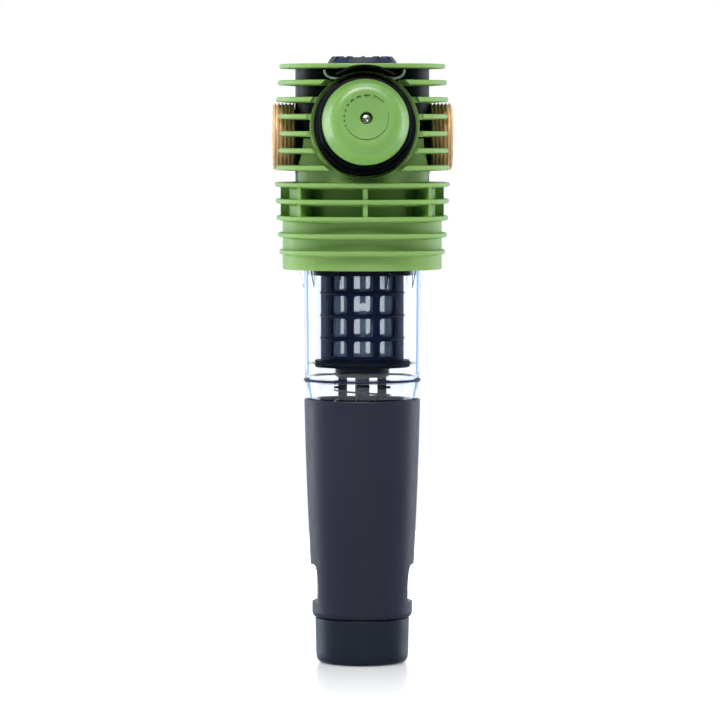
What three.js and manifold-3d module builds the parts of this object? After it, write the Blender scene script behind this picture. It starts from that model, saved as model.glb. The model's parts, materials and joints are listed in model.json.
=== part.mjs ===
// Backwash water filter with a built-in pressure reducer, for a domestic G 1 1/4 water main.
// Millimetres, +Z up. The origin is the centre of the base, the pressure knob faces -Y,
// the inlet is at -X and the outlet at +X.
import * as THREE from "three";
import { mergeVertices } from "three/addons/utils/BufferGeometryUtils.js";
import Module from "manifold-3d";

const wasm = await Module();
wasm.setup();

// ---------------------------------------------------------------- driving dimensions
const GAP = 0.3; // between pieces that touch
const FINE = 28; // sides of a large round piece
const PLAIN = 16; // sides of a middling one
const SMALL = 8; // sides of a screw or stem

// Head
const PORT_RADIUS = 41.91 / 2; // G 1 1/4 thread
const PORT_REACH = 55.1; // from the axis to a port's face
const PORT_Z = 324.3;
const PORT_BORE = 14.5;
const TOP_FIN_Z = 369; // upper face of the highest fin
const FIN_PITCH = 10.38;
const FIN_THICK = 3.1;
const BARREL_HALF_WIDTH = 53.9; // widest fin
const BARREL_Z = 310.4; // height of the widest fin
const BARREL_ARC = 541; // radius of the arc that the fin tips follow
const DEPTH_RATIO = 1.06; // a fin's depth over its width
const SQUARENESS = 2.5; // exponent of the rounded-square plan
const CORE_HALF_WIDTH = 41.4;
const CORE_DEPTH_RATIO = 0.966;
const PANEL_TOP_Z = 323.6; // top of the low wall that joins the lower fins
const PANEL_THICK = 1.5;
const SHELL_BOTTOM_Z = 296.7;
const PANEL_END = 15.3; // the shells' walls stop this far in front of and behind the ports' axis
const SKIRT_BOTTOM_Z = 243.2;
const SKIRT_RADIUS = 49;
const BAND_RADIUS = 45; // wall between the three fins above the skirt
const NECK_RADIUS = 42;

// Reducer cartridge: its axis rises from the port axis towards the front
const TILT = THREE.MathUtils.degToRad(9);
const BOSS_RADIUS = 33.1;
const BOSS_BORE = 31;
const BOSS_FACE = 47; // all lengths along the cartridge axis start at the port axis
const NOTCH_RADIUS = 35.7;
const NOTCH_FLOOR = 42; // the fins stop here round the boss, behind its face
const TOP_NOTCH_RADIUS = 35;
const KNOB_RADIUS = 26.2;
const KNOB_BACK = 57;
const KNOB_FACE = 75;

// Bowl, filter insert and drain
const BOWL_RADIUS = 36;
const CAGE_RADIUS = 25.5;
const CAGE_WINDOW_TURNS = [-36, 0, 36];
const CAGE_ROWS = 4;
const CORE_POSTS = 7;
const WINDOW_PITCH = 13.9;
const WINDOW_HEIGHT = 11.2;
const FLANGE_Z = 183; // lower face of the insert's flange
const WHEEL_TOP_Z = 163.2;
const WHEEL_BOTTOM_Z = 29;
const WINDOW_FLAT = 27.5; // distance from the axis to the deepest part of the wheel's two grips
const PIN_Z = 46;
const PISTON_LIFT = 5; // over a quarter turn of the wheel
const CUP_TOP_Z = 28.4;

const finTop = (index) => TOP_FIN_Z - FIN_PITCH * index; // index 0 is the highest fin
const finHalfWidth = (z) => BARREL_HALF_WIDTH - (z - BARREL_Z) ** 2 / (2 * BARREL_ARC);

// ---------------------------------------------------------------- solids and shapes
function solid(geometry) {
  const bare = geometry.clone();
  bare.deleteAttribute("normal");
  bare.deleteAttribute("uv");
  const merged = mergeVertices(bare, 1e-4);
  const { array } = merged.getAttribute("position");
  return new wasm.Manifold(
    new wasm.Mesh({ numProp: 3, vertProperties: array, triVerts: new Uint32Array(merged.index.array) }),
  );
}

const union = (...solids) => solids.reduce((sum, next) => sum.add(next));
const cut = (body, ...tools) => tools.reduce((rest, tool) => rest.subtract(tool), body);

// A round solid about Z from a closed outline of [radius, z] points.
function turned(outline, sides = PLAIN) {
  const points = outline.map(([r, z]) => new THREE.Vector2(r, z));
  if (THREE.ShapeUtils.area(points) < 0) points.reverse();
  points.push(points[0].clone());
  return new THREE.LatheGeometry(points, sides).rotateX(Math.PI / 2);
}

// A round bar about Z, or a tube when it has a bore.
function bar(radius, z0, z1, sides = PLAIN, bore = 0) {
  return solid(turned([[bore, z0], [radius, z0], [radius, z1], [bore, z1]], sides));
}

const barAlongX = (radius, x0, x1, sides) => bar(radius, x0, x1, sides).rotate([0, 90, 0]);
const portBar = (radius, x0, x1) => barAlongX(radius, x0, x1, FINE).translate([0, 0, PORT_Z]);
const barAlongY = (radius, y0, y1, sides) => bar(radius, -y1, -y0, sides).rotate([90, 0, 0]);

function block(x0, x1, y0, y1, z0, z1) {
  const box = new THREE.BoxGeometry(x1 - x0, y1 - y0, z1 - z0);
  return solid(box.translate((x0 + x1) / 2, (y0 + y1) / 2, (z0 + z1) / 2));
}

// A plate between two heights from an outline of Vector2 points, with an optional hole.
function plate(outline, z0, z1, hole) {
  const shape = new THREE.Shape(outline);
  if (hole) shape.holes.push(new THREE.Path(hole));
  const depth = z1 - z0;
  return solid(new THREE.ExtrudeGeometry(shape, { depth, bevelEnabled: false }).translate(0, 0, z0));
}

// The head's rounded-square plan.
function squircle(halfWidth, halfDepth, sides = FINE) {
  const points = [];
  for (let i = 0; i < sides; i++) {
    const angle = (2 * Math.PI * i) / sides;
    const x = Math.sign(Math.cos(angle)) * Math.abs(Math.cos(angle)) ** (2 / SQUARENESS);
    const y = Math.sign(Math.sin(angle)) * Math.abs(Math.sin(angle)) ** (2 / SQUARENESS);
    points.push(new THREE.Vector2(halfWidth * x, halfDepth * y));
  }
  return points;
}

const corePlan = (inset) =>
  squircle(CORE_HALF_WIDTH - inset, CORE_HALF_WIDTH * CORE_DEPTH_RATIO - inset);

function finPlate(index) {
  const top = finTop(index);
  const halfWidth = finHalfWidth(top - FIN_THICK / 2);
  return plate(squircle(halfWidth, halfWidth * DEPTH_RATIO), top - FIN_THICK, top);
}

// A six-sided wire along a curve.
function wire(curve, radius, steps) {
  const section = new THREE.Shape();
  section.absarc(0, 0, radius, 0, 2 * Math.PI);
  const options = { extrudePath: curve, steps, curveSegments: 3, bevelEnabled: false };
  return solid(new THREE.ExtrudeGeometry(section, options));
}

class Helix extends THREE.Curve {
  constructor(radius, z0, z1, turns) {
    super();
    Object.assign(this, { radius, z0, z1, turns });
  }
  getPoint(t, target = new THREE.Vector3()) {
    const angle = 2 * Math.PI * this.turns * t;
    const z = this.z0 + (this.z1 - this.z0) * t;
    return target.set(this.radius * Math.cos(angle), this.radius * Math.sin(angle), z);
  }
}

// Copies of a solid turned about Z.
function around(body, count, startDegrees = 0) {
  const copies = [];
  for (let i = 0; i < count; i++) copies.push(body.rotate([0, 0, startDegrees + (360 * i) / count]));
  return union(...copies);
}

// Solids drawn about Z move to the cartridge's tilted axis.
const onCartridge = (body) => body.rotate([90 - THREE.MathUtils.radToDeg(TILT), 0, 0]).translate([0, 0, PORT_Z]);

// ---------------------------------------------------------------- materials
const paint = (color, roughness, metalness = 0, more = {}) =>
  new THREE.MeshStandardMaterial({ color, roughness, metalness, ...more });

const green = paint(0x83b65a, 0.42);
const black = paint(0x15181d, 0.4);
const charcoal = paint(0x363b48, 0.5);
const brass = paint(0xc8a068, 0.28, 1);
const steel = paint(0xd8d8d6, 0.22, 1);
const clear = paint(0xd9ecf6, 0.05, 0, { transparent: true, opacity: 0.25 });
const meshGrey = paint(0xaebbd0, 0.6);
const corePlastic = paint(0x5a6164, 0.5);
const rubber = paint(0x0c0d10, 0.7);
const blueRubber = paint(0x14204a, 0.5);

const filter = new THREE.Group();
function add(name, body, material, parent = filter) {
  const { numProp, vertProperties, triVerts } = body.getMesh();
  const geometry = new THREE.BufferGeometry();
  const positions = new Float32Array((vertProperties.length / numProp) * 3);
  for (let i = 0; i < positions.length / 3; i++)
    positions.set(vertProperties.subarray(i * numProp, i * numProp + 3), i * 3);
  geometry.setAttribute("position", new THREE.BufferAttribute(positions, 3));
  geometry.setIndex(new THREE.BufferAttribute(triVerts, 1));
  geometry.computeVertexNormals();
  const mesh = new THREE.Mesh(geometry, material);
  mesh.name = name;
  parent.add(mesh);
  return mesh;
}

// ---------------------------------------------------------------- retaining clip
// A U of spring wire: its bar runs through the boss and a groove in the bonnet's flange.
const CLIP_WIRE = 0.8;
function clipPath() {
  const halfWidth = 24.2;
  const bend = 8;
  const y = -38.5;
  const [low, high] = [359.8, 365.4];
  const path = new THREE.CurvePath();
  const corner = (side) => new THREE.Vector3(side * halfWidth, y, low);
  const legFoot = (side) => new THREE.Vector3(side * halfWidth, y, Math.min(low + bend, high - 0.4));
  const barEnd = (side) => new THREE.Vector3(side * (halfWidth - bend), y, low);
  path.add(new THREE.LineCurve3(new THREE.Vector3(-halfWidth, y, high), legFoot(-1)));
  path.add(new THREE.QuadraticBezierCurve3(legFoot(-1), corner(-1), barEnd(-1)));
  path.add(new THREE.LineCurve3(barEnd(-1), barEnd(1)));
  path.add(new THREE.QuadraticBezierCurve3(barEnd(1), corner(1), legFoot(1)));
  path.add(new THREE.LineCurve3(legFoot(1), new THREE.Vector3(halfWidth, y, high)));
  return path;
}
const clipSolid = (radius) => wire(clipPath(), radius, 24);

// ---------------------------------------------------------------- head
const BODY_TOP_Z = 365.6;
const BONNET_SEAT = 39.7; // front of the body's boss, under the bonnet's flange
const DIAPHRAGM_SEAT = 18;
const SCREW_X = 22;
const SCREW_GAPS = [2.5, 5.5]; // the screws sit half way between two fins
const screwHeight = (gap) => TOP_FIN_Z - FIN_THICK / 2 - FIN_PITCH * gap;

function valveBody() {
  const upper = plate(corePlan(GAP), PANEL_TOP_Z + GAP, BODY_TOP_Z);
  const lower = plate(corePlan(PANEL_THICK + GAP), 291, PANEL_TOP_Z + GAP + 0.01);
  const neck = bar(NECK_RADIUS, 252.3, 291.5, FINE);
  const portBoss = portBar(23, -CORE_HALF_WIDTH + GAP, CORE_HALF_WIDTH - GAP);
  const frontBoss = onCartridge(bar(BOSS_BORE - 0.4, 18, BONNET_SEAT, FINE));
  const cheeks = plate(corePlan(GAP), SHELL_BOTTOM_Z + GAP, PANEL_TOP_Z + 1).intersect(
    block(-60, 60, GAP - PANEL_END, PANEL_END - GAP, 290, 330),
  );
  const arch = onCartridge(bar(TOP_NOTCH_RADIUS - 0.4, 31, 58, FINE, BOSS_RADIUS + 0.4)).intersect(
    block(-18, 18, -70, -20, 361.9, 380),
  );
  const innerNeck = bar(13.6, 243, 275);
  const socket = union(bar(36.9, 240, 263, FINE), bar(33, 262, 272, FINE));
  const hollowed = cut(union(upper, lower, neck, portBoss, frontBoss, cheeks, arch), socket);
  const bores = [
    bar(10, 240, 282), // clean water leaves the insert
    bar(8, 276, 322).translate([0, 12, 0]), // and rises to the valve
    bar(7, 265, 324).translate([-27, 0, 0]), // raw water comes down from the inlet
    portBar(PORT_BORE, -60, -20),
    portBar(PORT_BORE, 13, 60),
    portBar(19.5, -60, -28),
    portBar(19.5, 28, 60),
    onCartridge(bar(27.9, DIAPHRAGM_SEAT, 60, FINE)),
    onCartridge(bar(BOSS_BORE, BONNET_SEAT, 60, FINE)),
    onCartridge(bar(17, 4, DIAPHRAGM_SEAT + 1)),
    onCartridge(bar(6.5, -6, 5)),
    onCartridge(bar(11, -20, -5)),
    bar(4.4, 350, 380, SMALL), // dial hub
    clipSolid(CLIP_WIRE + GAP),
  ];
  for (const side of [-1, 1]) {
    bores.push(bar(1.6, 355, 380, SMALL).translate([12 * side, 0, 0]));
    for (const gap of SCREW_GAPS)
      bores.push(barAlongY(2.2, 24, 60, SMALL).translate([SCREW_X * side, 0, screwHeight(gap)]));
  }
  return cut(union(hollowed, innerNeck), ...bores);
}

// Everything that the two green half shells are cut back from.
function shellTools() {
  return [
    plate(corePlan(0), PANEL_TOP_Z, 380),
    plate(corePlan(PANEL_THICK), 280, PANEL_TOP_Z + 0.01),
    plate(corePlan(-0.1), 280, 380).intersect(block(-60, 60, -PANEL_END, PANEL_END, 280, 380)),
    portBar(23.4, -60, 60),
    onCartridge(bar(BOSS_BORE, 0, 60, FINE)),
  ];
}

// The swelling of the front wall that carries the boss, and runs out into the wall at both sides.
function pedestal() {
  const outline = [];
  for (let x = -33; x <= 33; x += 3) {
    const wall = CORE_HALF_WIDTH * CORE_DEPTH_RATIO * (1 - (Math.abs(x) / CORE_HALF_WIDTH) ** SQUARENESS) ** (1 / SQUARENESS);
    outline.push(new THREE.Vector2(x, -wall - 9 / (1 + (x / 20) ** 6)));
  }
  outline.push(new THREE.Vector2(30, -26), new THREE.Vector2(-30, -26));
  return plate(outline, SHELL_BOTTOM_Z, finTop(6) - 1);
}

function frontShell() {
  const fins = cut(union(...[1, 2, 3, 4, 5, 6].map(finPlate)), onCartridge(bar(NOTCH_RADIUS, NOTCH_FLOOR, 80, FINE)));
  const panel = plate(corePlan(0), SHELL_BOTTOM_Z, PANEL_TOP_Z);
  const boss = onCartridge(bar(BOSS_RADIUS, 30, BOSS_FACE, FINE));
  const whole = union(fins, panel, pedestal(), cut(boss, block(-60, 60, -60, 60, 250, SHELL_BOTTOM_Z)));
  return cut(whole, ...shellTools(), clipSolid(CLIP_WIRE + GAP), block(-60, 60, -GAP / 2, 70, 240, 380));
}

function rearShell() {
  const fins = [1, 2, 3, 4, 5, 6].map(finPlate);
  const panel = plate(corePlan(0), SHELL_BOTTOM_Z, PANEL_TOP_Z);
  const ribTop = finTop(1);
  const ribs = [[90, 53], [50, 55], [130, 55]].map(([angle, reach]) =>
    block(38, reach, -1.4, 1.4, SHELL_BOTTOM_Z, ribTop).rotate([0, 0, angle]),
  );
  const posts = [];
  const holes = [];
  for (const side of [-1, 1])
    for (const gap of SCREW_GAPS) {
      const place = [SCREW_X * side, 0, screwHeight(gap)];
      posts.push(barAlongY(4.6, 30, 50, SMALL).translate(place));
      holes.push(barAlongY(2.2, 24, 60, SMALL).translate(place));
      holes.push(barAlongY(3.7, 46.7, 60, SMALL).translate(place));
    }
  const whole = union(...fins, panel, ...ribs, ...posts);
  return cut(whole, ...shellTools(), ...holes, block(-60, 60, -70, GAP / 2, 240, 380));
}

function shellScrew(side, gap) {
  const head = barAlongY(3.4, 47, 49.4, SMALL);
  const shank = barAlongY(1.9, 27, 47.1, SMALL);
  const slot = union(block(-2.2, 2.2, 48.6, 50, -0.5, 0.5), block(-0.5, 0.5, 48.6, 50, -2.2, 2.2));
  return cut(union(head, shank), slot).translate([SCREW_X * side, 0, screwHeight(gap)]);
}

function topPlate() {
  const tools = [bar(5.3, 360, 380, SMALL), onCartridge(bar(TOP_NOTCH_RADIUS, 30, 80, FINE))];
  for (const x of [-12, 12])
    tools.push(bar(1.6, 360, 380, SMALL).translate([x, 0, 0]), bar(3.3, 367, 380, SMALL).translate([x, 0, 0]));
  return cut(finPlate(0), ...tools);
}

const topScrew = (side) =>
  union(bar(3, 367.3, 368.7, SMALL), bar(1.3, 357, 367.4, SMALL)).translate([12 * side, 0, 0]);

function reminderDial() {
  const z = TOP_FIN_Z + GAP;
  const outline = [
    [5.6, z], [21.2, z], [21.2, z + 0.6], [17.9, z + 3.75], [8.2, z + 3.75], [8.2, z + 2.05], [5.6, z + 2.05],
  ];
  const rib = block(13, 20.6, -0.9, 0.9, z + 1, z + 4.45);
  const slope = solid(turned([[5, z], [21.3, z], [21.3, z + 0.9], [18.2, z + 4.45], [5, z + 4.45]], FINE));
  const body = union(solid(turned(outline, FINE)), around(rib, 12));
  return body.intersect(slope);
}

const dialHub = () => union(bar(4.1, 352, 369.4, SMALL), bar(5, 366, 371.8, SMALL), bar(7.8, 371.7, 372.9));

function bowlCollar() {
  const bandTop = finTop(7);
  const wall = turned(
    [
      [40.5, SKIRT_BOTTOM_Z], [SKIRT_RADIUS, SKIRT_BOTTOM_Z], [SKIRT_RADIUS, finTop(9) - 1], [BAND_RADIUS, finTop(9) - 1],
      [BAND_RADIUS, bandTop], [42.5, bandTop], [42.5, 252], [44.2, 252], [44.2, 246.8], [40.5, 246.8],
    ],
    FINE,
  );
  const fins = [7, 8, 9, 10, 11].map(finPlate);
  const bore = bar(42.5, 246.8, 300, FINE);
  const rib = (reach) => block(43.5, reach, -1.45, 1.45, finTop(9) - 1, bandTop - 1);
  const ribs = [];
  for (let i = 0; i < 8; i++) {
    const reach = [50.2, 56.4, 54.4, 56.4][i % 4];
    ribs.push(rib(reach).rotate([0, 0, 45 * i]));
  }
  return union(cut(union(...fins, ...ribs), bore), solid(wall));
}

function port(side) {
  const outline = [
    [PORT_BORE - 0.3, 28.6], [17, 28.6], [17, CORE_HALF_WIDTH + GAP], [PORT_RADIUS, CORE_HALF_WIDTH + GAP],
    [PORT_RADIUS, PORT_REACH - 1.2], [PORT_RADIUS - 1.2, PORT_REACH], [PORT_BORE - 0.3, PORT_REACH],
  ];
  return solid(turned(outline, FINE)).rotate([0, 90 * side, 0]).translate([0, 0, PORT_Z]);
}

const portSeal = (side) =>
  bar(19.2, 31.5, 33.7, FINE, 17.3).rotate([0, 90 * side, 0]).translate([0, 0, PORT_Z]);

// ---------------------------------------------------------------- reducer cartridge, about its own axis
function bonnet() {
  const outline = [
    [15.5, 21], [27.6, 21], [27.6, 40], [30.6, 40], [30.6, 48.6], [29.8, 49.5], [20, 49.5], [20, 55.3],
    [5.3, 55.3], [5.3, 44], [15.5, 44],
  ];
  const octagon = [];
  for (let i = 0; i < 8; i++) {
    const angle = ((i + 0.5) * Math.PI) / 4;
    octagon.push(new THREE.Vector2(29.8 * Math.cos(angle), 29.8 * Math.sin(angle)));
  }
  const nut = cut(plate(octagon, 49.4, 55.3), bar(15, 49, 56));
  const toCartridge = (body) => body.translate([0, 0, -PORT_Z]).rotate([THREE.MathUtils.radToDeg(TILT) - 90, 0, 0]);
  return cut(union(solid(turned(outline, FINE)), nut), toCartridge(clipSolid(CLIP_WIRE + GAP)));
}

const pressureKnob = () =>
  solid(
    turned(
      [
        [KNOB_RADIUS, KNOB_BACK], [KNOB_RADIUS, 59.5], [25.3, 62.6], [22.6, 70.2], [21.2, 73], [19.2, 74.4],
        [16.4, KNOB_FACE], [3.8, 74.4], [3.8, 69.7], [2.3, 69.7], [2.3, 66.3], [5.4, 66.3], [5.4, 57.6], [8, 57.6], [8, 68], [18, 68],
        [22.9, 61.5], [24, KNOB_BACK],
      ],
      FINE,
    ),
  );

function knobScrew() {
  const screw = union(bar(2.9, 70, 72.4, SMALL), bar(1.9, 59, 70.1, SMALL));
  return cut(screw, block(-1.9, 1.9, -0.4, 0.4, 71.4, 73), block(-0.4, 0.4, -1.9, 1.9, 71.4, 73));
}

const adjustingSpindle = () => cut(bar(5, 33, 66, SMALL), bar(2.2, 57, 70, SMALL));
const springPlate = () => bar(14.5, 39, 42, PLAIN, 5.4);
const settingSpring = () => wire(new Helix(12, 26.7, 35.9, 3), 1, 30);
const diaphragm = () => bar(27.4, 18.3, 20.3, PLAIN, 3.4);
const cartridgeSeal = () => bar(27.5, 20.55, 20.85, PLAIN, 24);
const reducerStem = () => union(bar(3, -15, 22, SMALL), bar(13, 20.8, 22.8, PLAIN), bar(8.4, -15, -11, SMALL));
const valveDisc = () => bar(8.4, -10.7, -7.9, SMALL, 3.3);

// ---------------------------------------------------------------- bowl
function clearBowl() {
  const outline = [
    [12.4, 72], [27, 72], [28.8, 74.5], [32.9, 160], [34.2, 169], [35.4, 173.9], [34.4, 173.9], [34.4, 176.1],
    [35.3, 176.1], [BOWL_RADIUS, 247.1], [43.4, 247.1], [43.4, 251], [36.4, 251], [36.4, 255.5],
    [34.9, 255.5], [34.9, 258.6], [36.4, 258.6], [36.4, 262.4], [33, 262.4], [33, 251], [33.9, 246], [33.7, 179],
    [32.4, 176.8], [32.2, 172], [31.1, 160], [29.3, 126.2], [27.6, 126.2], [25.4, 76], [12.4, 76],
  ];
  const gusset = new THREE.Shape([[35, 231], [39.4, 247], [39.4, 248], [35, 248]].map(([r, z]) => new THREE.Vector2(r, z)));
  const blade = solid(
    new THREE.ExtrudeGeometry(gusset, { depth: 1.2, bevelEnabled: false }).rotateX(Math.PI / 2).translate(0, 0.6, 0),
  );
  const blades = [];
  for (const angle of [0, 33, 66, -33, -66])
    blades.push(blade.rotate([0, 0, angle]), blade.rotate([0, 0, angle + 180]));
  return union(solid(turned(outline, FINE)), ...blades);
}

const bowlORing = () => bar(36.7, 255.8, 258.3, FINE, 35.2);
const bandORing = () => bar(36.1, 174.2, 175.8, FINE, 34.7);
const insertGuide = () =>
  solid(
    turned(
      [
        [26.9, 239.6], [33.4, 239.6], [33.4, 245.6], [32.6, 247], [32.6, 262.6], [30.2, 262.6], [30.2, 242.8],
        [26.9, 242.8],
      ],
      FINE,
    ),
  );
const springSeat = () => bar(28.8, 126.6, 129, FINE, 12);

// ---------------------------------------------------------------- filter insert
const CAGE_BOTTOM_Z = FLANGE_Z + 4.7;
const CAGE_TOP_Z = 254;
const FIRST_WINDOW_Z = 188.4;
const CAGE_SIDES = 20;

function filterCage() {
  const tube = solid(
    turned(
      [
        [23.4, CAGE_BOTTOM_Z], [CAGE_RADIUS, CAGE_BOTTOM_Z], [CAGE_RADIUS, CAGE_TOP_Z], [14, CAGE_TOP_Z],
        [14, CAGE_TOP_Z - 3], [23.4, CAGE_TOP_Z - 3],
      ],
      CAGE_SIDES,
    ),
  );
  const windows = [];
  const rings = [];
  for (let row = 0; row < CAGE_ROWS; row++) {
    const z0 = FIRST_WINDOW_Z + WINDOW_PITCH * row;
    const low = Math.max(z0, CAGE_BOTTOM_Z + 2.5);
    for (const turn of CAGE_WINDOW_TURNS)
      windows.push(block(-40, 40, -5.8, 5.8, low, z0 + WINDOW_HEIGHT).rotate([0, 0, 90 + turn]));
    if (row > 0) rings.push(bar(26.3, z0 - 1.9, z0 - 0.8, CAGE_SIDES, 24));
  }
  return union(cut(tube, ...windows), ...rings);
}

const filterMesh = () => bar(23.1, CAGE_BOTTOM_Z + GAP, CAGE_TOP_Z - 3 - GAP, CAGE_SIDES, 22.6);

// Posts behind the mesh, between two end rings; the front one has a round cross hole.
function meshCore() {
  const [low, high] = [CAGE_BOTTOM_Z + GAP, CAGE_TOP_Z - 3 - GAP];
  const posts = around(block(18.2, 22.2, -1.8, 1.8, low, high), CORE_POSTS, -91);
  const rings = [low, high - 2.5].map((z) => bar(21.5, z, z + 2.5, CAGE_SIDES, 15));
  return cut(union(posts, ...rings), barAlongY(2.5, -30, -15, SMALL).translate([-0.35, 0, 220.6]));
}

function insertFlange() {
  const z = FLANGE_Z;
  return solid(
    turned(
      [[12, z], [29.3, z], [29.3, z + 1.3], [27.3, z + 1.3], [27.3, z + 3.5], [29.3, z + 3.5], [29.3, z + 4.4], [12, z + 4.4]],
      FINE,
    ),
  );
}

function lipSeal() {
  const z = FLANGE_Z + 1.6;
  return solid(turned([[27.6, z], [29.6, z], [33.2, z + 0.4], [33.2, z + 1.2], [29.6, z + 1.6], [27.6, z + 1.6]], FINE));
}

function insertCarrier() {
  const collar = bar(17, 176.2, FLANGE_Z - GAP, PLAIN, 12);
  const legs = around(block(9.4, 14.8, -3.9, 3.9, 138, 177), 4);
  const hooks = around(block(14, 17.3, -3.9, 3.9, 171.4, 173), 4);
  return union(collar, legs, hooks, bar(14.6, 138, 141.5, PLAIN, 9.4));
}

const returnSpring = () => wire(new Helix(17, 130.1, 170.2, -4.5), 0.7, 58);

// ---------------------------------------------------------------- drain and backwash wheel
const NOZZLE_RADIUS = 12;

function drainNozzle() {
  const outline = [[9.5, 20], [NOZZLE_RADIUS, 20], [NOZZLE_RADIUS, 76.3], [15.5, 76.3], [15.5, 78.8], [9.5, 78.8]];
  return cut(solid(turned(outline)), block(-20, 20, -2.2, 2.2, 43.8, 53.6));
}

const nozzleNut = () => {
  const hexagon = [];
  for (let i = 0; i < 6; i++)
    hexagon.push(new THREE.Vector2(18.5 * Math.cos((i * Math.PI) / 3), 18.5 * Math.sin((i * Math.PI) / 3)));
  return cut(plate(hexagon, 66, 71.7), bar(NOZZLE_RADIUS + GAP, 60, 80));
};

const drainSeal = () => bar(13, 79.1, 80.6, PLAIN, 8.6);

function drainPiston() {
  const body = union(bar(3, 6, 84, SMALL), bar(8.3, 77, 81, PLAIN), bar(13, 80.9, 84.5));
  return cut(body, barAlongX(1.5 + GAP, -10, 10, SMALL).translate([0, 0, PIN_Z]));
}

const liftPin = () => barAlongX(1.5, -15.4, 15.4, SMALL).translate([0, 0, PIN_Z]);

function backwashWheel() {
  const outline = [
    [33.9, WHEEL_TOP_Z], [35.7, WHEEL_TOP_Z], [31.9, 62], [30.9, 38], [30.9, 31.2], [29.6, WHEEL_BOTTOM_Z],
    [16.6, WHEEL_BOTTOM_Z], [16.6, 31.6], [25.9, 31.6], [25.9, 66], [29.4, 70],
  ];
  const recess = [[50, 38], [WINDOW_FLAT, 38], [WINDOW_FLAT, 50], [27.9, 55], [28.6, 59], [29.6, 61.5], [50, 61.5]];
  const shape = new THREE.Shape(recess.map(([x, z]) => new THREE.Vector2(x, z)));
  const geometry = new THREE.ExtrudeGeometry(shape, { depth: 50, bevelEnabled: false });
  const grip = solid(geometry.rotateX(Math.PI / 2).translate(0, 25, 0));
  return cut(solid(turned(outline, FINE)), grip, grip.rotate([0, 0, 180]));
}

// Two ramps under the lift pin, each rising PISTON_LIFT over a quarter turn.
function camRing() {
  const foot = WHEEL_BOTTOM_Z + 0.3;
  const low = PIN_Z - 1.5 - GAP;
  const lowest = low - 3;
  const geometry = turned([[12.7, foot], [16.3, foot], [16.3, low], [12.7, low]], FINE);
  const position = geometry.getAttribute("position");
  for (let i = 0; i < position.count; i++) {
    if (position.getZ(i) < low - 1) continue;
    const degrees = THREE.MathUtils.radToDeg(Math.atan2(position.getY(i), position.getX(i)));
    const behind = THREE.MathUtils.euclideanModulo(-degrees + 0.01, 180); // 0 under the pin, then up the ramp
    const onRamp = low + (PISTON_LIFT * Math.min(behind, 90)) / 90;
    position.setZ(i, behind < 98 ? onRamp : behind > 170 ? low : lowest);
  }
  return solid(geometry);
}

function drainCup() {
  const wall = solid(
    turned(
      [
        [20.5, 0], [24.4, 0], [26.6, 0.8], [27.9, 2.6], [28.4, 5.5], [29, CUP_TOP_Z - 0.6], [28.4, CUP_TOP_Z], [26.8, CUP_TOP_Z],
        [26.2, 5.5], [20.5, 3.2],
      ],
      FINE,
    ),
  );
  const hub = bar(7.5, 0, 5);
  const spokes = around(block(6.5, 22, -1.5, 1.5, 0, 3.2), 4, 45);
  const collar = bar(14.8, 2.8, 26, PLAIN, NOZZLE_RADIUS + 0.4);
  return cut(union(wall, hub, spokes, collar), bar(3.4, 2.5, 10, SMALL));
}

// ---------------------------------------------------------------- assembly
add("valve_body", valveBody(), black);
add("front_shell", frontShell(), green);
add("rear_shell", rearShell(), green);
add("top_plate", topPlate(), green);
add("bowl_collar", bowlCollar(), green);
add("inlet_port", port(-1), brass);
add("outlet_port", port(1), brass);
add("inlet_seal", portSeal(-1), rubber);
add("outlet_seal", portSeal(1), rubber);
[-1, 1].forEach((side, column) => {
  SCREW_GAPS.forEach((gap, row) => add(`shell_screw_${2 * column + row + 1}`, shellScrew(side, gap), steel));
  add(`top_screw_${column + 1}`, topScrew(side), steel);
});
add("reminder_dial", reminderDial(), black);
add("dial_hub", dialHub(), black);
add("retaining_clip", clipSolid(CLIP_WIRE), steel);

const cartridge = new THREE.Group();
cartridge.position.z = PORT_Z;
cartridge.rotation.x = Math.PI / 2 - TILT;
filter.add(cartridge);
add("bonnet", bonnet(), black, cartridge);
add("pressure_knob", pressureKnob(), green, cartridge);
add("knob_screw", knobScrew(), steel, cartridge);
add("adjusting_spindle", adjustingSpindle(), brass, cartridge);
add("spring_plate", springPlate(), brass, cartridge);
add("setting_spring", settingSpring(), steel, cartridge);
add("diaphragm", diaphragm(), rubber, cartridge);
add("cartridge_seal", cartridgeSeal(), rubber, cartridge);
add("reducer_stem", reducerStem(), brass, cartridge);
add("valve_disc", valveDisc(), rubber, cartridge);

add("clear_bowl", clearBowl(), clear);
add("bowl_o_ring", bowlORing(), rubber);
add("band_o_ring", bandORing(), blueRubber);
add("insert_guide", insertGuide(), black);
add("spring_seat", springSeat(), black);
add("filter_cage", filterCage(), black);
add("filter_mesh", filterMesh(), meshGrey);
add("mesh_core", meshCore(), corePlastic);
add("insert_flange", insertFlange(), black);
add("lip_seal", lipSeal(), rubber);
add("insert_carrier", insertCarrier(), corePlastic);
add("return_spring", returnSpring(), steel);
add("drain_nozzle", drainNozzle(), black);
add("nozzle_nut", nozzleNut(), black);
add("drain_seal", drainSeal(), rubber);
add("drain_piston", drainPiston(), corePlastic);
add("lift_pin", liftPin(), steel);
add("backwash_wheel", backwashWheel(), charcoal);
add("cam_ring", camRing(), black);
add("drain_cup", drainCup(), charcoal);

export default filter;
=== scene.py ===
"""Looks for a backwash water filter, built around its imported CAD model.

Lengths are in millimetres until a mesh is made. Those of the studio and of the materials are in metres.
"""

import json
import math

import bmesh
import bpy
from mathutils import Matrix, Vector


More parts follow.
